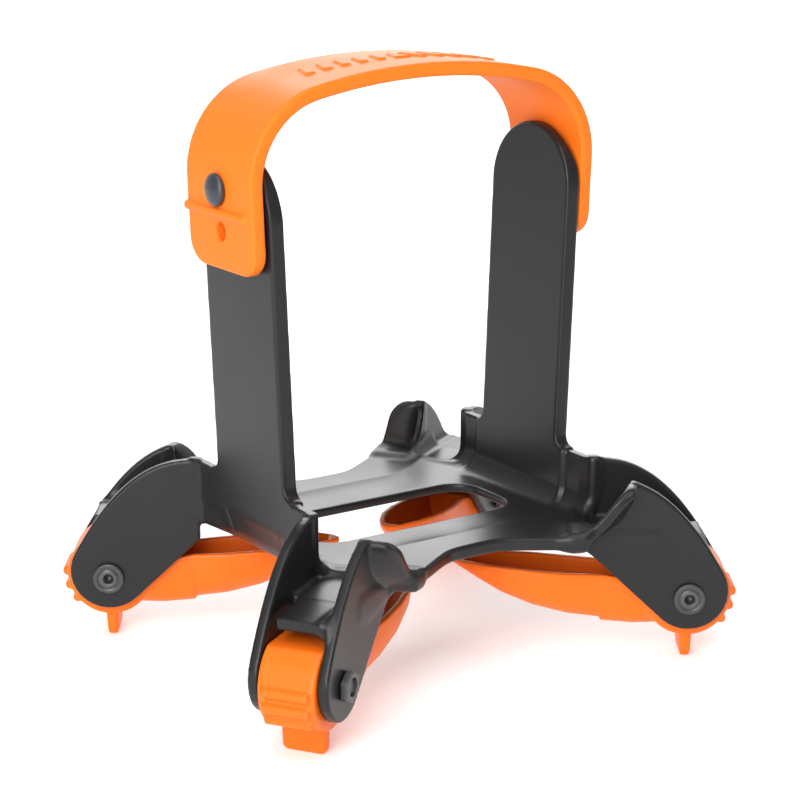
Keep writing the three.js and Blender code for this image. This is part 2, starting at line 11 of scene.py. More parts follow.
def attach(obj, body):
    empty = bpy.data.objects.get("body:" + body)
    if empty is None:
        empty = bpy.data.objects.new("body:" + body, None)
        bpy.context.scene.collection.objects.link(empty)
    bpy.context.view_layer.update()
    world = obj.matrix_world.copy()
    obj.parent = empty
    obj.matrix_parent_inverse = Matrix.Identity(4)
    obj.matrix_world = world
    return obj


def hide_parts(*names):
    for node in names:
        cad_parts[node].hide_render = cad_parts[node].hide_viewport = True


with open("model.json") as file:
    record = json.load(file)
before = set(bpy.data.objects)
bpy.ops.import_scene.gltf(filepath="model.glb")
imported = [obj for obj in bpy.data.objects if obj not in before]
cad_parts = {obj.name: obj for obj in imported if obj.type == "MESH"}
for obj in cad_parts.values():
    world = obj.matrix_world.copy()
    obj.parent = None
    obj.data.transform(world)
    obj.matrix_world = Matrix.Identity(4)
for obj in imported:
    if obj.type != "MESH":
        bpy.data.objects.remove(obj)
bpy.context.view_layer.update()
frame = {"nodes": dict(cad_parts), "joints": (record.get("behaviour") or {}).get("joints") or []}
joints = {joint["name"]: joint for joint in frame["joints"]}
print("frame loaded")

# Shapes are worked out in millimetres and turned into metres when a mesh is made.
hub = [1000 * value for value in joints["lever_pivot_toe_right"]["pos_m"]]
legAxis = joints["lever_pivot_toe_right"]["axis"]
studHeight = 1000 * joints["strap_swing"]["pos_m"][2]
legCos, legSin = -legAxis[1], legAxis[0]

legs = {
    "toe_right": (1, 1),
    "toe_left": (-1, 1),
    "heel_right": (1, -1),
    "heel_left": (-1, -1),
}

leg = {
    "gap": 0.4,
    "hubHalfWidth": 10.6,
    "earThickness": 3.9,
    "earTipRadius": 14.8,
    "earTipLift": 2.2,
    "earTop": 47.0,
    "earTopReach": 33.0,
    "earTopRun": 21.0,
    "earShoulder": (1.3, 30.0),
    "earLength": 43.0,
    "earTurn": 35.5,    # where the side ear leaves the wall, inward of the pivot
    "tipStart": math.radians(30),
    "lowerSlope": math.radians(43.5),
    "earEdge": 0.7,
    "earFillet": 2.5,
    "floorFillet": 1.5,
    "hornFillet": 6.0,
    "hornReach": 22.7,
    "hornHeight": 45.0,
    "hornSpread": 23.8,
    "hornCorner": 6.5,
    "hornClimb": (7, 2, 5),    # start, lead and first rise of the inner edge's climb
    "lipThickness": 4.2,
    "lipStart": 0.8,    # inward of the ear's end
    "lipFoot": 5.5,
    "lipCove": 0.5,     # below 1 the lip flares at once and then levels out
    "floorDrop": 3.0,
    "floorEnd": 14.0,   # inward of the pivot
    "tongueRoot": 18.0,
    "tongueUnder": 19.35,
    "tongueFall": 0.1,
    "tongueHalfWidth": 8.1,
    "tongueEnd": 5.5,
    "tongueTip": 4.2,
    "boltHole": 3.4,
}
earInner = leg["hubHalfWidth"] + leg["gap"]
earOuter = earInner + leg["earThickness"]

platform = {
    "top": 53.0,
    "thickness": 5.0,
    "barEdge": 52.0,
    "barStraight": 11.0,
    "windowHalfLength": 44.7,
    "windowHalfWidth": 18.4,
    "windowCorner": 12.0,
    "windowEdge": 0.9,
    "lipReach": 24.5,
    "sideInset": 4.6,   # the platform's side edge, in from the wall's outer face
    "dish": 1.5,        # how far the inner part of each bar dips towards the window
    "dishRun": 6.0,
    "crease": ((26, 38.0), (36, 43.0), (60, 60)),    # where the dip starts, from the middle outward
    "edge": 1.1,
}

upright = {
    "faceX": 63.3,      # outer face at the platform's height
    "lean": 0.04,
    "thickness": 6.0,
    "halfWidth": 24.0,
    "crown": 196.6,
    "wallHalfWidth": 28.0,
    "shoulder": 73.0,
    "shoulderFillet": 5.5,
    "platformFillet": 8.0,
    "turn": ((-2.0, 22), (-2.0, 32), (-1.7, 37), (-0.9, 40.2), (0.6, 41.6)),    # out from the face, along Y
    "turnFillet": 2.5,
    "leanFade": (41, 7),    # where the wall stands straight, and the run up to it
    "faceEnd": 34,      # nothing stands out from the face before this
    "seatRadius": 3.2,  # hole for the stud's neck
    "seatRise": 130,    # from the platform, near the stud's own height
    "seatDepth": 4,
    "foot": 14.0,       # outside radius where the wall turns under the platform
    "edge": 1.1,
}


# Fields give the distance to a surface, negative inside the solid.

def roundJoin(a, b, radius):
    corner = np.hypot(np.maximum(radius - a, 0), np.maximum(radius - b, 0))
    return np.maximum(radius, np.minimum(a, b)) - corner


def roundMeet(a, b, radius):
    corner = np.hypot(np.maximum(radius + a, 0), np.maximum(radius + b, 0))
    return np.minimum(-radius, np.maximum(a, b)) + corner


def roundCut(a, b, radius):
    return roundMeet(a, -b, radius)


def thicken(flat, across, half, edge):
    return roundMeet(flat, np.abs(across) - half, edge)


def pathDistance(u, v, points):
    best = None
    for (au, av), (bu, bv) in zip(points, points[1:]):
        du, dv = bu - au, bv - av
        along = np.clip(((u - au) * du + (v - av) * dv) / (du * du + dv * dv), 0, 1)
        gap = np.hypot(u - au - along * du, v - av - along * dv)
        best = gap if best is None else np.minimum(best, gap)
    return best


def outlineDistance(u, v, points):
    closed = list(points) + [points[0]]
    gap = pathDistance(u, v, closed)
    inside = np.zeros(gap.shape, bool)
    for (au, av), (bu, bv) in zip(closed, closed[1:]):
        if av == bv:
            continue
        crosses = (v < av) != (v < bv)
        inside ^= crosses & (u < au + (v - av) * (bu - au) / (bv - av))
    return np.where(inside, -gap, gap)


def boxDistance(u, v, halfU, halfV, corner):
    qu, qv = np.abs(u) - halfU + corner, np.abs(v) - halfV + corner
    return np.minimum(np.maximum(qu, qv), 0) + np.hypot(np.maximum(qu, 0), np.maximum(qv, 0)) - corner


def bezier(points, steps):
    made = []
    for k in range(steps + 1):
        row = [np.array(point, float) for point in points]
        while len(row) > 1:
            row = [a + (b - a) * k / steps for a, b in zip(row, row[1:])]
        made.append(tuple(row[0]))
    return made


def arc(centreU, centreV, radius, start, end, steps):
    turn = [start + (end - start) * k / steps for k in range(steps + 1)]
    return [(centreU + radius * math.cos(a), centreV + radius * math.sin(a)) for a in turn]


def grid(low, high, step):
    axes = [np.arange(a, b + step, step, dtype=np.float32) for a, b in zip(low, high)]
    return np.meshgrid(*axes, indexing="ij", sparse=True)


def evenOut(piece):
    smooth = piece.modifiers.new("evenOut", "SMOOTH")
    smooth.factor = 0.5
    smooth.iterations = 1


def meshFromField(name, field, low, step):
    reach = 3.0    # the field is only kept this near the surface
    volume = openvdb.FloatGrid(reach)
    volume.copyFromArray(np.clip(field, -reach, reach).astype(np.float32))
    points, triangles, quads = volume.convertToPolygons(0.0, 0.0)
    points = points * step + np.array(low)
    mesh = bpy.data.meshes.new(name)
    faces = [tuple(face[::-1]) for face in triangles.tolist() + quads.tolist()]
    mesh.from_pydata((points / 1000).tolist(), [], faces)
    mesh.update()
    piece = bpy.data.objects.new(name, mesh)
    bpy.context.scene.collection.objects.link(piece)
    evenOut(piece)
    mesh.shade_smooth()
    return piece


strap = {
    "halfWidth": 23.3,
    "thickness": 5.3,
    "crown": 219.9,
    "swing": math.radians(30),
    "crownRadius": 225.0,
    "cornerRadius": 29.0,
    "tailEnd": 154.4,
    "tailCorner": 10.0,
    "sideGap": 1.0,
    "room": 0.5,        # kept clear of the upright's crown through the swing
    "holeRadius": 3.4,
    "freeHoleDrop": 15.0,
    "ribDrop": 8.3,
    "ribRadius": 1.8,
    "ribShift": 1.1,
    "ribInset": 3.3,
    "edge": 1.3,
    "marks": 11,
    "markPitch": 7.6,
    "markHalf": (1.9, 5.6),
    "markHeight": 0.9,
    "markTilt": 0.28,
    "markCorner": 0.9,
    "markEdge": 0.35,
}


def innerFace(z):
    return upright["faceX"] + upright["lean"] * (z - platform["top"]) + strap["sideGap"]


def strapPath():
    half = strap["thickness"] / 2
    corner = strap["cornerRadius"]
    middleZ = strap["crown"] - strap["crownRadius"]
    centreX, centreZ = 0, strap["crown"] - corner - 5
    for _ in range(8):
        centreX = innerFace(centreZ) - corner * math.hypot(1, upright["lean"])
        centreZ = middleZ + math.sqrt((strap["crownRadius"] - corner) ** 2 - centreX ** 2)
    lean = math.atan(upright["lean"])
    meet = math.atan2(centreZ - middleZ, centreX)
    foot = (innerFace(strap["tailEnd"] - 6) + half, strap["tailEnd"] - 6)
    bend = arc(centreX, centreZ, corner + half, -lean, meet, 16)
    crown = arc(0, middleZ, strap["crownRadius"] + half, meet, math.pi / 2 + 0.02, 16)
    return [foot] + bend + crown, middleZ


def earOutline(inner, length):
    endAngle = -math.pi / 2 - leg["lowerSlope"]
    tipArc = arc(0, leg["earTipLift"], leg["earTipRadius"], leg["tipStart"], endAngle, 14)
    start, top = -leg["earTopReach"], leg["earTop"]
    fall = [(start, top), (start + leg["earTopRun"], top), leg["earShoulder"], tipArc[0]]
    crown = [point for point in bezier(fall, 16) if point[0] >= inner[-1][0] - 0.01]
    lowOut, lowUp = tipArc[-1]
    lowEnd = (-length, lowUp + (lowOut + length) * math.tan(leg["lowerSlope"]))
    return inner + crown[:-1] + tipArc + [lowEnd]


def legFields(outward, up, aside):
    rise = platform["top"] - hub[2]
    length = leg["earLength"]
    wallEar = earOutline([(-leg["earTurn"], leg["earTop"])], leg["earTurn"])
    start, lead, climb = leg["hornClimb"]
    hornCurve = [(-length, rise), (-leg["hornReach"] - start, rise), (-leg["hornReach"] - lead, rise + climb)]
    hornCurve.append((-leg["hornReach"], leg["hornHeight"]))
    hornRise = bezier(hornCurve, 10)
    middle = (earInner + earOuter) / 2
    half = leg["earThickness"] / 2
    ears = thicken(outlineDistance(outward, up, wallEar), aside - middle, half, leg["earEdge"])
    hornSide = outlineDistance(outward, up, earOutline(hornRise, length))
    horn = thicken(hornSide, aside + middle, half, leg["earEdge"])
    return ears, roundJoin(horn, hornLip(outward, up, aside, hornRise), 0.8)


# The lip leaves the ear near its middle and flares out to the rim, thinning on the way
def hornLip(outward, up, aside, hornRise):
    rise = platform["top"] - hub[2]
    start = leg["earLength"] + leg["lipStart"]
    top = leg["hornHeight"]
    reach = leg["hornReach"]
    low = rise - leg["lipFoot"]
    # both curves run from the leg's inner end up to the horn's tip
    rim = [(-start, rise), (-start + 6, rise + 1.5), (-reach - 10, rise + 9), (-reach - 2.3, top)]
    root = [(-start, low), (-reach - 3, low + 1), (-reach + 10.5, top - 9), (-reach + 0.7, top - 1)]
    near, far = [], []
    for crest, base, edge in zip(hornRise, bezier(root, 10), bezier(rim, 10)):
        crest, base, edge = np.array(crest), np.array(base), np.array(edge)
        span = max(np.linalg.norm(base - crest), leg["lipThickness"])
        down = (base - crest) / max(np.linalg.norm(base - crest), 0.01)
        near.append((*(crest + down * span / 2), span / 2))
        far.append((*(edge + down * leg["lipThickness"] / 2), leg["lipThickness"] / 2))
    spread = leg["hornSpread"]
    middle = (earInner + earOuter) / 2
    share = np.clip((-aside - middle) / (spread - middle), 0, 1) ** leg["lipCove"]
    best = None
    for k in range(len(near) - 1):
        a = [near[k][i] + (far[k][i] - near[k][i]) * share for i in range(3)]
        b = [near[k + 1][i] + (far[k + 1][i] - near[k + 1][i]) * share for i in range(3)]
        du, dv = b[0] - a[0], b[1] - a[1]
        along = np.clip(((outward - a[0]) * du + (up - a[1]) * dv) / (du * du + dv * dv + 1e-6), 0, 1)
        gap = np.hypot(outward - a[0] - along * du, up - a[1] - along * dv) - (a[2] + (b[2] - a[2]) * along)
        best = gap if best is None else np.minimum(best, gap)
    deep = 40.2    # half the height of the block that rounds the horn's outer top corner
    shoulder = boxDistance(aside, up - top + deep, spread, deep, leg["hornCorner"])
    lip = roundMeet(best, shoulder, 1.2)
    return roundMeet(lip, aside + earInner, 0.8)


def legFloor(outward, up, aside):
    rise = platform["top"] - hub[2]
    length = leg["earLength"]
    floorTop = rise - leg["floorDrop"]
    thick = platform["thickness"]
    inner, root = -leg["floorEnd"], -leg["tongueRoot"]

    def under(out):
        return leg["tongueUnder"] - leg["tongueFall"] * out

    profile = [(-length - 3, rise - 2.6), (-length + 0.5, rise - 0.6), (-length + 7, floorTop)]
    profile += [(inner, floorTop), (inner, under(inner)), (inner - 6, floorTop - thick)]
    profile += [(-length, rise - thick), (-length - 3, rise - thick)]
    end = leg["tongueEnd"]
    tongue = [(root, floorTop), (root, under(root)), (end, under(end)), (end, under(end) + leg["tongueTip"])]
    floor = thicken(outlineDistance(outward, up, profile), aside, earInner + 1, 0.3)
    blade = thicken(outlineDistance(outward, up, tongue), aside, leg["tongueHalfWidth"], 0.6)
    return np.minimum(floor, blade)


def legSpot(out, side):
    return hub[0] + out * legCos + side * legSin, hub[1] + out * legSin - side * legCos


def platformField(x, y, z):
    corner = legSpot(-leg["earLength"] + 3, -platform["lipReach"])
    across = legSpot(-leg["earLength"] + 6, earInner + 2.4)
    sideX = upright["faceX"] - platform["sideInset"]
    straight, edge = platform["barStraight"], platform["barEdge"]
    past = 20    # the outline runs on past the middle planes, where the quarters meet

    def along(part):
        return straight + (corner[0] - straight) * part, edge + (corner[1] - edge) * part

    bend = bezier([(straight - 8, edge), (straight, edge), along(0.05), along(0.4)], 8)
    half = bend + [corner, across, (sideX + 1.2, 30), (sideX, 24)]
    outline = [(-past, edge)] + half + [(sideX, -past), (-past, -past)]
    flat = outlineDistance(x, y, outline)
    crease, far = list(platform["crease"]), 200
    around = [(far, crease[-1][1]), (far, -far), (-far, -far), (-far, crease[0][1])]
    inner = outlineDistance(x, y, crease + around)
    top = platform["top"] - platform["dish"] * (1 - np.exp(np.minimum(inner, 0) / platform["dishRun"]))
    bottom = platform["top"] - platform["thickness"]
    plate = roundMeet(flat, np.maximum(z - top, bottom - z), platform["edge"])
    halfLength, halfWidth = platform["windowHalfLength"], platform["windowHalfWidth"]
    window = boxDistance(x, y, halfLength, halfWidth, platform["windowCorner"])
    return roundCut(plate, window, platform["windowEdge"])


def uprightField(x, y, z):
    low = platform["top"] - platform["thickness"]
    crownZ = upright["crown"] - upright["halfWidth"]
    tall = np.hypot(y, np.maximum(z - crownZ, 0)) - upright["halfWidth"]
    wide = np.maximum(np.abs(y) - upright["wallHalfWidth"], z - upright["shoulder"])
    side = roundJoin(tall, wide, upright["shoulderFillet"])
    face = x - upright["lean"] * (z - platform["top"]) - upright["faceX"]
    body = thicken(side, face + upright["thickness"] / 2, upright["thickness"] / 2, upright["edge"])
    outerFoot = roundMeet(face, low - z, upright["foot"])
    return np.maximum(body, outerFoot), outerFoot, face


# The wall runs on past the upright and bends outward into the side ear
def wallTurn(x, y, z):
    turn = [(upright["faceX"] + out, along) for out, along in upright["turn"]]
    low = platform["top"] - platform["thickness"]
    fadeEnd, fadeRun = upright["leanFade"]
    fade = np.clip((fadeEnd - y) / fadeRun, 0, 1)
    plan = pathDistance(x - upright["lean"] * (z - platform["top"]) * fade, y, turn) - leg["earThickness"] / 2
    return thicken(plan, z - (low + upright["shoulder"]) / 2, (upright["shoulder"] - low) / 2, 0.9)


def frameField(x, y, z):
    side, outerFoot, face = uprightField(x, y, z)
    wall = np.maximum(roundJoin(side, wallTurn(x, y, z), upright["turnFillet"]), outerFoot - 0.4)
    wall = np.where(y < upright["faceEnd"], np.maximum(wall, face), wall)
    wall = np.where(y > upright["wallHalfWidth"] + 0.5, np.maximum(wall, z - upright["shoulder"]), wall)
    body = roundJoin(platformField(x, y, z), wall, upright["platformFillet"])
    # the leg's own fields are only worked out near the leg
    fromX, fromY = np.searchsorted(x.ravel(), 24), np.searchsorted(y.ravel(), 14)
    toZ = np.searchsorted(z.ravel(), 84)
    lx, ly, lz = x[fromX:], y[:, fromY:], z[:, :, :toZ]
    outward = (lx - hub[0]) * legCos + (ly - hub[1]) * legSin
    aside = (lx - hub[0]) * legSin - (ly - hub[1]) * legCos
    up = lz - hub[2]
    ears, horn = legFields(outward, up, aside)
    part = roundJoin(body[fromX:, fromY:, :toZ], ears, leg["earFillet"])
    part = roundJoin(part, legFloor(outward, up, aside), leg["floorFillet"])
    joined = roundJoin(part, horn, leg["hornFillet"])
    bore = np.hypot(outward, up) - leg["boltHole"]
    body[fromX:, fromY:, :toZ] = roundCut(joined, bore, 0.3)
    seatFloor = upright["faceX"] + upright["lean"] * upright["seatRise"] - upright["seatDepth"]
    seat = np.maximum(np.hypot(y, z - studHeight) - upright["seatRadius"], seatFloor - x)
    body = np.maximum(body, -seat)
    # and the strap's relief only near the crown
    fromX, fromZ = np.searchsorted(x.ravel(), 54), np.searchsorted(z.ravel(), 150)
    toY = np.searchsorted(y.ravel(), 27)
    crown = body[fromX:, :toY, fromZ:]
    crown[:] = roundCut(crown, strapRoom(x[fromX:], y[:, :toY], z[:, :, fromZ:]), 0.6)
    return body


# Room for the strap over the upright's crown as it swings
def strapRoom(x, y, z):
    path, _ = strapPath()
    nearest = 50
    for part in (-1, -0.5, 0, 0.5, 1):
        swing = part * strap["swing"]
        turned = studHeight + (z - studHeight) * math.cos(swing) + y * math.sin(swing)
        nearest = np.minimum(nearest, pathDistance(x, turned, path))
    return nearest - strap["thickness"] / 2 - strap["room"]


def makeFrame():
    step = 0.6
    low = [0, 0, 8]
    x, y, z = grid(low, [108, 94, 200], step)
    quarter = frameField(x, y, z)
    half = np.concatenate([quarter[:0:-1], quarter])
    whole = np.concatenate([half[:, :0:-1], half], axis=1)
    corner = [-step * (len(quarter) - 1), -step * (quarter.shape[1] - 1), low[2]]
    return meshFromField("bootFrame", whole, corner, step)


bootFrame = makeFrame()
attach(bootFrame, "frame")
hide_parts("base_frame")
print("frame made", len(bootFrame.data.polygons))

lever = {
    "hubRadius": 16.4,
    "ridgeRadius": 1.9,
    "ridgeHeight": 2.2,
    "ridgeAngles": (2, -18, -38),
    "ridgeHalfWidth": 9.0,
    "wall": 2.6,
    "tabHalfWidth": 8.3,
    "tabThickness": 5.0,
    "tabCorner": 2.5,
    "tabDrop": 14,
    "tabHalfHeight": 12,
    "tabTaper": 0.7,    # lost from each face by the tab's foot
    "armStep": 32.0,    # where the hub's root hands over to the arm
    "armEnd": 88.4,
    "armPower": 2.6,    # higher is squarer across
    "rootPower": 3,
    "cavity": (22.4, 84),
    "bore": 5.5,
}

# Distance inward, half width, underside and rim of the lever's arm.
armStations = [
    (32, 10.6, -12.0, 7.6),
    (45, 12.0, -10.2, 8.4),
    (58, 12.1, -6.7, 9.6),
    (70, 10.6, -1.6, 10.6),
    (79, 7.8, 3.8, 11.2),
    (85.5, 4.5, 8.0, 11.4),
    (88.5, 1.6, 9.6, 11.4),
]

# Distance inward, underside and rim of the root, between the hub and the arm.
rootStations = [(4, -13.4, 3.0), (20, -14.0, 5.6), (32, -13.0, 7.6)]


def troughField(inward, up, aside, trim):
    reach = [station[0] for station in armStations]
    width, under, rim = (np.interp(inward, reach, [s[k] for s in armStations]) for k in (1, 2, 3))
    width, under = np.maximum(width - trim, 0.3), under + trim
    deep = np.maximum(rim - under, 0.5)
    power = lever["armPower"]
    size = (np.abs(aside / width) ** power + np.abs(np.maximum(rim - up, 0) / deep) ** power) ** (1 / power)
    return (size - 1) * np.minimum(width, deep) * 0.9, rim


def leverField(outward, up, aside):
    inward = -outward
    shell, rim = troughField(inward, up, aside, 0)
    cavity, _ = troughField(inward, up, aside, lever["wall"])
    ends = np.maximum(lever["armStep"] - inward, inward - lever["armEnd"])
    blade = roundMeet(np.maximum(shell, ends), up - rim, 0.7)
    reach, under, top = zip(*rootStations)
    rootUnder, rootRim = np.interp(inward, reach, under), np.interp(inward, reach, top)
    deep = rootRim - rootUnder
    power, half = lever["rootPower"], leg["hubHalfWidth"]
    across, drop = np.abs(aside / half), np.abs(np.maximum(rootRim - up, 0) / deep)
    size = (across ** power + drop ** power) ** (1 / power)
    rootEnd = lever["armStep"] + 0.6    # a little into the arm, so that the two meet
    rootEnds = np.maximum(reach[0] - inward, inward - rootEnd)
    root = roundMeet((size - 1) * 9.0, np.maximum(up - rootRim, rootEnds), 0.6)
    drum = thicken(np.hypot(outward, up) - lever["hubRadius"], aside, half, 1.0)
    body = roundJoin(np.minimum(blade, root), drum, 1.0)
    hollowStart, hollowEnd = lever["cavity"]
    hollow = np.maximum(np.maximum(cavity, hollowStart - inward), inward - hollowEnd)
    body = roundCut(body, hollow, 0.8)
    radius = lever["hubRadius"] + lever["ridgeHeight"] - lever["ridgeRadius"]
    for angle in lever["ridgeAngles"]:
        turn = math.radians(angle)
        bar = np.hypot(outward - radius * math.cos(turn), up - radius * math.sin(turn)) - lever["ridgeRadius"]
        body = roundJoin(body, thicken(bar, aside, lever["ridgeHalfWidth"], 0.8), 0.9)
    middle, tall = -lever["tabDrop"], lever["tabHalfHeight"]
    taper = np.interp(up, [middle - tall, middle], [-lever["tabTaper"], 0])
    sheet = np.abs(outward) - lever["tabThickness"] / 2 - taper
    tabFace = boxDistance(aside, up - middle, lever["tabHalfWidth"], tall, lever["tabCorner"])
    body = roundJoin(body, roundMeet(tabFace, sheet, 0.8), 0.8)
    return np.maximum(body, lever["bore"] - np.hypot(outward, up))


def makeLever():
    step = 0.6
    low = [-91, -28, 0]
    outward, up, aside = grid(low, [21, 14, 14], step)
    half = leverField(outward, up, aside)
    whole = np.concatenate([half[:, :, :0:-1], half], axis=2)
    return meshFromField("clawLeverShape", whole, [low[0], low[1], -step * (half.shape[2] - 1)], step)


def legMatrix(signX, signY):
    return Matrix((
        (signX * legCos, 0, signX * legSin, signX * hub[0] / 1000),
        (signY * legSin, 0, -signY * legCos, signY * hub[1] / 1000),
        (0, 1, 0, hub[2] / 1000),
        (0, 0, 0, 1),
    ))


def placeOnLeg(mesh, name, place):
    placed = mesh.copy()
    placed.name = name
    matrix = legMatrix(*legs[place])
    placed.transform(matrix)
    if matrix.determinant() < 0:
        placed.flip_normals()
    piece = bpy.data.objects.new(name, placed)
    bpy.context.scene.collection.objects.link(piece)
    return piece


leverShape = makeLever()
levers = {}
for place in legs:
    piece = placeOnLeg(leverShape.data, "clawLever_" + place, place)
    evenOut(piece)
    levers[place] = piece
    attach(piece, "lever_" + place)
    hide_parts("claw_lever_" + place)
bpy.data.objects.remove(leverShape)
print("levers made", len(levers["toe_right"].data.polygons))


def strapField(x, y, z):
    path, middleZ = strapPath()
    band = thicken(pathDistance(x, z, path) - strap["thickness"] / 2, y, strap["halfWidth"], strap["edge"])
    tall = 60
    tail = boxDistance(y, z - strap["tailEnd"] - tall, strap["halfWidth"], tall, strap["tailCorner"])
    tail = np.where(z < strap["tailEnd"] + tall, tail, -10)
    band = roundMeet(band, tail, strap["edge"])
    ribZ = studHeight - strap["ribDrop"]
    ribX = innerFace(ribZ) + strap["thickness"] + 0.4
    beyond = np.maximum(np.abs(y - strap["ribShift"]) - strap["halfWidth"] + strap["ribInset"], 0)
    rib = np.sqrt((x - ribX) ** 2 + (z - ribZ) ** 2 + beyond ** 2) - strap["ribRadius"]
    band = roundJoin(band, rib, 0.8)
    for holeZ in (studHeight, studHeight - strap["freeHoleDrop"]):
        hole = np.maximum(np.hypot(y, z - holeZ) - strap["holeRadius"], 40 - x)
        band = roundCut(band, hole, 0.5)
    return roundJoin(band, crownMarks(x, y, z, middleZ), 0.4)


def crownMarks(x, y, z, middleZ):
    outer = strap["crownRadius"] + strap["thickness"]
    along = np.arctan2(x, z - middleZ) * outer + strap["markTilt"] * y
    height = np.hypot(x, z - middleZ) - outer
    pitch = strap["markPitch"]
    count = strap["marks"] // 2
    nearest = np.clip(np.round(along / pitch), -count, count)
    face = boxDistance(along - nearest * pitch, y, *strap["markHalf"], strap["markCorner"])
    return roundMeet(face, np.maximum(height - strap["markHeight"], -1 - height), strap["markEdge"])


def makeStrap():
    step = 0.6
    low = [0, -25, 152]
    x, y, z = grid(low, [79, 25, 228], step)
    half = strapField(x, y, z)
    whole = np.concatenate([half[:0:-1], half])
    return meshFromField("instepStrap", whole, [-step * (len(half) - 1), low[1], low[2]], step)


instepStrap = makeStrap()
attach(instepStrap, "strap")
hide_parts("instep_strap")
print("strap made", len(instepStrap.data.polygons))

hardware = {
    "around": 48,
    "headRadius": 5.9,
    "headHeight": 1.7,
    "socketRadius": 1.9,
    "socketDepth": 3.0,
    "ringRadii": (4.4, 4.2, 3.7, 3.5),    # shallow ring in the bolt's head
    "ringDepth": 0.35,
    "shankRadius": 3.0,
    "nutCorner": 5.95,
    "nutHeight": 2.6,
    "studRadius": 5.9,
    "studNeck": 3.0,
    "studHead": 3.4,
    "stand": 0.4,       # how far the hardware stands off the ear
}


def latheMesh(name, profile, count):
    mesh = bpy.data.meshes.new(name)
    shape = bmesh.new()
    rings = []
    for radius, along in profile:
        if radius < 1e-6:
            rings.append([shape.verts.new((0, along / 1000, 0))])
            continue
        turns = [2 * math.pi * k / count for k in range(count)]
        ring = [(radius * math.cos(a) / 1000, along / 1000, radius * math.sin(a) / 1000) for a in turns]
        rings.append([shape.verts.new(point) for point in ring])
    for near, far in zip(rings, rings[1:]):
        for k in range(count):
            after = (k + 1) % count
            corners = [near[k % len(near)], near[after % len(near)], far[after % len(far)], far[k % len(far)]]
            face = list(dict.fromkeys(corners))
            if len(face) > 2:
                shape.faces.new(face)
    bmesh.ops.recalc_face_normals(shape, faces=shape.faces)
    shape.to_mesh(mesh)
    shape.free()
    mesh.shade_smooth()
    return mesh


def turnedEdge(radius, along, size, steps=4):
    spots = [math.pi / 2 * k / steps for k in range(steps + 1)]
    return [(radius - size + size * math.cos(a), along - size + size * math.sin(a)) for a in spots]


def boltMesh(end):
    head = earOuter + hardware["stand"]
    top = head + hardware["headHeight"]
    socket = hardware["socketRadius"]
    rim = turnedEdge(hardware["headRadius"], top - 0.15, 0.5)
    profile = [(0, end), (hardware["shankRadius"] - 0.4, end), (hardware["shankRadius"], end + 0.4)]
    profile += [(hardware["shankRadius"], head), (hardware["headRadius"] - 0.3, head)]
    profile += [(hardware["headRadius"], head + 0.3)] + rim
    ringFloor = top - hardware["ringDepth"]
    profile += list(zip(hardware["ringRadii"], (top, ringFloor, ringFloor, top)))
    profile += [(socket + 0.3, top), (socket, top - 0.3)]
    profile += [(socket, top - hardware["socketDepth"]), (0, top - hardware["socketDepth"] - 0.4)]
    return latheMesh("boltShape", profile, hardware["around"])


def nutMesh():
    near = earOuter + hardware["stand"]
    far = near + hardware["nutHeight"]
    mesh = bpy.data.meshes.new("nutShape")
    shape = bmesh.new()
    inner = hardware["shankRadius"] + 0.35
    sides = 48    # a multiple of 12 keeps the corners
    rows = []
    for along, trim in ((near, 0.35), (near + 0.35, 0), (far - 0.6, 0), (far, 0.75)):
        row = []
        for k in range(sides):
            a = 2 * math.pi * k / sides
            fromFlat = (a + math.pi / 6) % (math.pi / 3) - math.pi / 6
            flat = hardware["nutCorner"] * math.cos(math.pi / 6) / math.cos(fromFlat)
            radius = min(flat, hardware["nutCorner"] - 0.15) - trim * 0.4
            radius = min(radius, hardware["nutCorner"] - trim)
            spot = (radius * math.cos(a) / 1000, along / 1000, radius * math.sin(a) / 1000)
            row.append(shape.verts.new(spot))
        rows.append(row)
    for along in (far, near):
        turns = [2 * math.pi * k / sides for k in range(sides)]
        row = [(inner * math.cos(a) / 1000, along / 1000, inner * math.sin(a) / 1000) for a in turns]
        rows.append([shape.verts.new(point) for point in row])
    for near, far in zip(rows, rows[1:] + rows[:1]):
        for k in range(sides):
            after = (k + 1) % sides
            shape.faces.new((near[k], near[after], far[after], far[k]))
    bmesh.ops.recalc_face_normals(shape, faces=shape.faces)
    shape.to_mesh(mesh)
    shape.free()
    return mesh


# Turns a shape made along Y into leg space, where the third axis runs through the pivot
def alongPivot(mesh, name, place, direction):
    turned = mesh.copy()
    turned.transform(Matrix(((1, 0, 0, 0), (0, 0, 1, 0), (0, direction, 0, 0), (0, 0, 0, 1))))
    if direction > 0:
        turned.flip_normals()
    return placeOnLeg(turned, name, place)


bolts, nuts = {}, {}
boltShape = boltMesh(-earOuter - hardware["stand"] - hardware["nutHeight"] + 0.8)
nutShape = nutMesh()
for place, (signX, signY) in legs.items():
    headSide = 1 if signX < 0 else -1
    bolts[place] = alongPivot(boltShape, "pivotBolt_" + place, place, headSide)
    nuts[place] = alongPivot(nutShape, "pivotNut_" + place, place, -headSide)
    for piece, node in ((bolts[place], "pivot_bolt_"), (nuts[place], "pivot_nut_")):
        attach(piece, "frame")
        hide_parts(node + place)
    nuts[place].modifiers.new("softEdge", "BEVEL").width = 0.00012


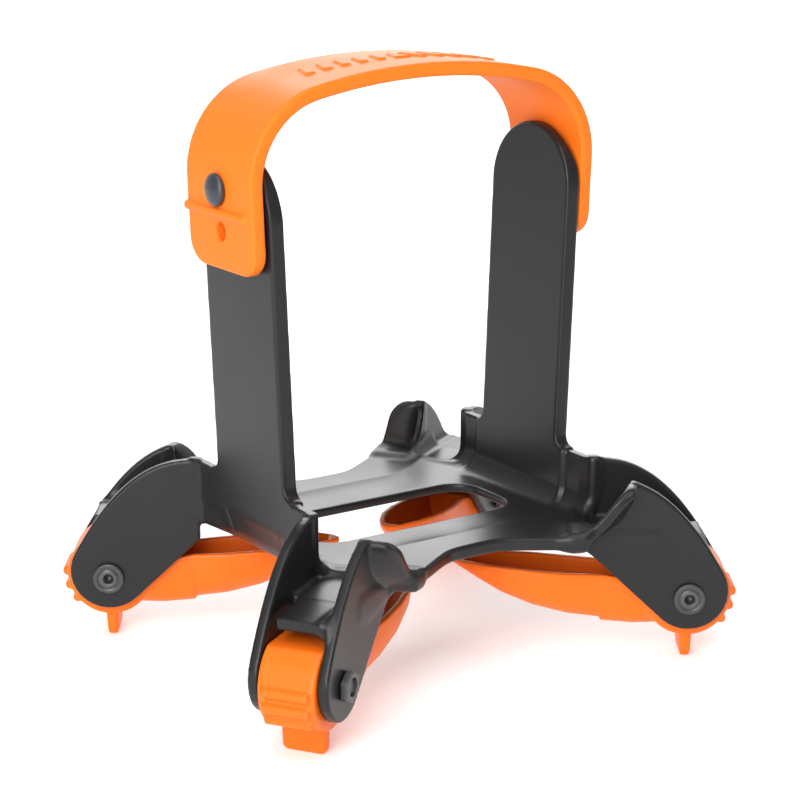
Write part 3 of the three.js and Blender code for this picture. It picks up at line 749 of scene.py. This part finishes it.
def studMesh():
    seat = upright["faceX"] + upright["lean"] * (studHeight - platform["top"]) - 3.4
    start = innerFace(studHeight) + strap["thickness"] + 0.4
    radius = hardware["studRadius"]
    profile = [(0, seat), (hardware["studNeck"], seat), (hardware["studNeck"], start), (radius - 0.4, start)]
    profile += [(radius, start + 0.4), (radius, start + 0.9)]
    for k in range(1, 9):
        a = math.pi / 2 * k / 9
        profile.append((radius * math.cos(a), start + 0.9 + (hardware["studHead"] - 0.9) * math.sin(a)))
    top = start + hardware["studHead"]
    profile += [(0, top)]
    return latheMesh("studShape", profile, hardware["around"])


studs = []
studShape = studMesh()
for side, sign in (("left", -1), ("right", 1)):
    mesh = studShape.copy()
    mesh.transform(Matrix(((0, sign, 0, 0), (-sign, 0, 0, 0), (0, 0, 1, studHeight / 1000), (0, 0, 0, 1))))
    stud = bpy.data.objects.new("strapStud_" + side, mesh)
    bpy.context.scene.collection.objects.link(stud)
    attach(stud, "frame")
    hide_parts("strap_stud_" + side)
    studs.append(stud)
print("hardware made")


def addSocket(tree, name, kind, direction, value=None):
    socket = tree.interface.new_socket(name=name, in_out=direction, socket_type=kind)
    if value is not None:
        socket.default_value = value


def makeGrainGroup():
    tree = bpy.data.node_groups.new("mouldedGrain", "ShaderNodeTree")
    addSocket(tree, "Grain Size", "NodeSocketFloat", "INPUT", 900.0)
    addSocket(tree, "Flow Size", "NodeSocketFloat", "INPUT", 22.0)
    addSocket(tree, "Low Roughness", "NodeSocketFloat", "INPUT", 0.35)
    addSocket(tree, "High Roughness", "NodeSocketFloat", "INPUT", 0.5)
    addSocket(tree, "Height", "NodeSocketFloat", "OUTPUT")
    addSocket(tree, "Roughness", "NodeSocketFloat", "OUTPUT")
    addSocket(tree, "Flow", "NodeSocketFloat", "OUTPUT")
    nodes, links = tree.nodes, tree.links
    given, result = nodes.new("NodeGroupInput"), nodes.new("NodeGroupOutput")
    place = nodes.new("ShaderNodeTexCoord")
    fine = nodes.new("ShaderNodeTexNoise")
    fine.inputs["Detail"].default_value = 3.0
    flow = nodes.new("ShaderNodeTexNoise")
    flow.inputs["Detail"].default_value = 2.0
    spread = nodes.new("ShaderNodeMapRange")
    for noise in (fine, flow):
        links.new(place.outputs["Object"], noise.inputs["Vector"])
    links.new(given.outputs["Grain Size"], fine.inputs["Scale"])
    links.new(given.outputs["Flow Size"], flow.inputs["Scale"])
    links.new(flow.outputs["Fac"], spread.inputs["Value"])
    spread.inputs["From Min"].default_value = 0.3
    spread.inputs["From Max"].default_value = 0.7
    links.new(given.outputs["Low Roughness"], spread.inputs["To Min"])
    links.new(given.outputs["High Roughness"], spread.inputs["To Max"])
    links.new(fine.outputs["Fac"], result.inputs["Height"])
    links.new(spread.outputs["Result"], result.inputs["Roughness"])
    links.new(flow.outputs["Fac"], result.inputs["Flow"])
    return tree


# Painted edge highlight: Pointiness lightens sharp edges towards Edge Color, a lighter tone that stands in
# for reflection along the edges, broken up by noise
def makeEdgeGroup():
    tree = bpy.data.node_groups.new("paintedEdgeHighlight", "ShaderNodeTree")
    addSocket(tree, "Color", "NodeSocketColor", "INPUT", (0.05, 0.05, 0.05, 1))
    addSocket(tree, "Edge Color", "NodeSocketColor", "INPUT", (0.1, 0.1, 0.1, 1))
    addSocket(tree, "Start", "NodeSocketFloat", "INPUT", 0.52)
    addSocket(tree, "Full", "NodeSocketFloat", "INPUT", 0.6)
    addSocket(tree, "Breakup", "NodeSocketFloat", "INPUT", 120.0)
    addSocket(tree, "Color", "NodeSocketColor", "OUTPUT")
    addSocket(tree, "Mask", "NodeSocketFloat", "OUTPUT")
    nodes, links = tree.nodes, tree.links
    given, result = nodes.new("NodeGroupInput"), nodes.new("NodeGroupOutput")
    shape = nodes.new("ShaderNodeNewGeometry")
    spread = nodes.new("ShaderNodeMapRange")
    place = nodes.new("ShaderNodeTexCoord")
    noise = nodes.new("ShaderNodeTexNoise")
    thin = nodes.new("ShaderNodeMath")
    thin.operation = "MULTIPLY"
    mix = nodes.new("ShaderNodeMix")
    mix.data_type = "RGBA"
    links.new(shape.outputs["Pointiness"], spread.inputs["Value"])
    links.new(given.outputs["Start"], spread.inputs["From Min"])
    links.new(given.outputs["Full"], spread.inputs["From Max"])
    links.new(place.outputs["Object"], noise.inputs["Vector"])
    links.new(given.outputs["Breakup"], noise.inputs["Scale"])
    links.new(spread.outputs["Result"], thin.inputs[0])
    links.new(noise.outputs["Fac"], thin.inputs[1])
    links.new(thin.outputs["Value"], mix.inputs["Factor"])
    links.new(given.outputs["Color"], mix.inputs["A"])
    links.new(given.outputs["Edge Color"], mix.inputs["B"])
    links.new(mix.outputs["Result"], result.inputs["Color"])
    links.new(thin.outputs["Value"], result.inputs["Mask"])
    return tree


grainGroup = makeGrainGroup()
edgeHighlightGroup = makeEdgeGroup()

# Each finish's edge colour is the painted edge highlight, lighter (bluish on the charcoal) to stand in for
# reflection along sharp edges
finishes = {
    "charcoalPlastic": {
        "color": (0.0115, 0.0118, 0.0125), "warm": (0.0155, 0.0152, 0.0152), "edge": (0.026, 0.03, 0.036),
        "rough": (0.27, 0.36), "grain": 1400.0, "bump": 0.05, "specular": 0.3,
    },
    "orangePlastic": {
        "color": (0.87, 0.138, 0.005), "warm": (0.91, 0.158, 0.007), "edge": (0.98, 0.26, 0.03),
        "rough": (0.34, 0.42), "grain": 1200.0, "bump": 0.05, "specular": 0.25,
    },
    "orangeRubber": {
        "color": (0.88, 0.168, 0.009), "warm": (0.91, 0.182, 0.012), "edge": (0.98, 0.29, 0.05),
        "rough": (0.46, 0.56), "grain": 1100.0, "bump": 0.08, "specular": 0.22,
    },
    "darkStud": {
        "color": (0.022, 0.027, 0.036), "warm": (0.030, 0.034, 0.042), "edge": (0.07, 0.08, 0.1),
        "rough": (0.28, 0.36), "grain": 1500.0, "bump": 0.04, "specular": 0.5,
    },
    "blackBolt": {
        "color": (0.028, 0.028, 0.030), "warm": (0.04, 0.04, 0.042), "edge": (0.16, 0.16, 0.17),
        "rough": (0.3, 0.42), "grain": 1600.0, "bump": 0.05, "specular": 0.5,
    },
    "turnedSteel": {
        "color": (0.45, 0.45, 0.46), "warm": (0.55, 0.55, 0.55), "edge": (0.7, 0.7, 0.7),
        "rough": (0.25, 0.4), "grain": 1800.0, "bump": 0.05, "specular": 0.5, "metal": 1.0,
    },
}


def makeMaterial(name):
    look = finishes[name]
    material = bpy.data.materials.new(name)
    material.use_nodes = True
    nodes, links = material.node_tree.nodes, material.node_tree.links
    surface = nodes["Principled BSDF"]
    grain = nodes.new("ShaderNodeGroup")
    grain.node_tree = grainGroup
    grain.inputs["Grain Size"].default_value = look["grain"]
    grain.inputs["Low Roughness"].default_value, grain.inputs["High Roughness"].default_value = look["rough"]
    # painted edge highlight laid over the base colour
    edge = nodes.new("ShaderNodeGroup")
    edge.node_tree = edgeHighlightGroup
    edge.inputs["Edge Color"].default_value = (*look["edge"], 1)
    tint = nodes.new("ShaderNodeMix")
    tint.data_type = "RGBA"
    tint.inputs["A"].default_value = (*look["color"], 1)
    tint.inputs["B"].default_value = (*look["warm"], 1)
    bump = nodes.new("ShaderNodeBump")
    bump.inputs["Strength"].default_value = look["bump"]
    bump.inputs["Distance"].default_value = 0.0002
    links.new(grain.outputs["Flow"], tint.inputs["Factor"])
    links.new(tint.outputs["Result"], edge.inputs["Color"])
    links.new(edge.outputs["Color"], surface.inputs["Base Color"])
    links.new(grain.outputs["Roughness"], surface.inputs["Roughness"])
    links.new(grain.outputs["Height"], bump.inputs["Height"])
    links.new(bump.outputs["Normal"], surface.inputs["Normal"])
    surface.inputs["Metallic"].default_value = look.get("metal", 0.0)
    surface.inputs["Specular IOR Level"].default_value = look["specular"]
    return material


materials = {name: makeMaterial(name) for name in finishes}


def dress(piece, name):
    piece.data.materials.clear()
    piece.data.materials.append(materials[name])


dress(bootFrame, "charcoalPlastic")
dress(instepStrap, "orangeRubber")
for place in legs:
    dress(levers[place], "orangePlastic")
    dress(bolts[place], "blackBolt")
    dress(nuts[place], "blackBolt")
    dress(frame["nodes"]["lever_bush_" + place], "turnedSteel")
for stud in studs:
    dress(stud, "darkStud")
print("materials made")

studio = {
    "floor": (0.92, 0.92, 0.92),
    "world": 0.28,
    "glow": 0.28,       # lifts the backdrop to an even white
    "azimuth": math.radians(-34.06),
    "elevation": math.radians(15.07),
    "lens": 100.85,
    "distance": 0.8478,
    "aim": (0.00153, -0.00104, 0.0959),
    "lightAim": (0, 0, 0.08),
}

lights = {
    "overhead": {"spot": (-0.25, -0.35, 1.3), "size": (1.2, 1.2), "power": 10.0},
    "leftPanel": {"spot": (-1.0, -0.75, 0.55), "size": (0.8, 1.0), "power": 17.0},
    "backPanel": {"spot": (0.7, 1.1, 0.8), "size": (1.0, 0.8), "power": 9.0},
}


def makeFloor():
    mesh = bpy.data.meshes.new("paleFloor")
    reach, back, rise, bend = 3.0, 1.6, 2.4, 0.8
    flat = back - bend
    rows = [(-reach, 0.0), (flat, 0.0)]
    turns = np.linspace(0.1, math.pi / 2, 12)
    rows += [(flat + bend * math.sin(a), bend - bend * math.cos(a)) for a in turns]
    rows.append((back, rise))
    aim = Vector((math.sin(azimuth), -math.cos(azimuth), 0))
    side = Vector((-aim.y, aim.x, 0))
    lift = Vector((0, 0, 1))
    points = [(-aim * along + side * across + lift * up)[:] for along, up in rows for across in (-4, 4)]
    faces = [(2 * k, 2 * k + 1, 2 * k + 3, 2 * k + 2) for k in range(len(rows) - 1)]
    mesh.from_pydata(points, [], faces)
    mesh.shade_smooth()
    floor = bpy.data.objects.new("paleFloor", mesh)
    bpy.context.scene.collection.objects.link(floor)
    material = bpy.data.materials.new("palePaint")
    material.use_nodes = True
    surface = material.node_tree.nodes["Principled BSDF"]
    surface.inputs["Base Color"].default_value = (*studio["floor"], 1)
    surface.inputs["Roughness"].default_value = 0.9
    surface.inputs["Specular IOR Level"].default_value = 0.1
    surface.inputs["Emission Color"].default_value = (1, 1, 1, 1)
    surface.inputs["Emission Strength"].default_value = studio["glow"]
    mesh.materials.append(material)


def makeLight(name, spot, target, size, power):
    data = bpy.data.lights.new(name, "AREA")
    data.shape = "RECTANGLE"
    data.size, data.size_y = size
    data.energy = power
    light = bpy.data.objects.new(name, data)
    light.location = spot
    light.rotation_mode = "QUATERNION"
    light.rotation_quaternion = (Vector(target) - Vector(spot)).to_track_quat("-Z", "Y")
    bpy.context.scene.collection.objects.link(light)


def makeCamera():
    data = bpy.data.cameras.new("productCamera")
    data.sensor_width = 36
    data.lens = studio["lens"]
    camera = bpy.data.objects.new("productCamera", data)
    level = math.cos(elevation)
    toCamera = Vector((math.sin(azimuth) * level, -math.cos(azimuth) * level, math.sin(elevation)))
    camera.location = Vector(studio["aim"]) + toCamera * studio["distance"]
    camera.rotation_mode = "QUATERNION"
    camera.rotation_quaternion = (-toCamera).to_track_quat("-Z", "Y")
    data.clip_start = 0.05
    bpy.context.scene.collection.objects.link(camera)
    bpy.context.scene.camera = camera


azimuth, elevation = studio["azimuth"], studio["elevation"]
makeFloor()
makeCamera()
bpy.context.scene.view_settings.view_transform = "Standard"
world = bpy.data.worlds.new("softRoom")
bpy.context.scene.world = world
world.use_nodes = True
world.node_tree.nodes["Background"].inputs["Color"].default_value = (1, 1, 1, 1)
world.node_tree.nodes["Background"].inputs["Strength"].default_value = studio["world"]
for name, light in lights.items():
    makeLight(name, light["spot"], studio["lightAim"], light["size"], light["power"])
print("stage made")
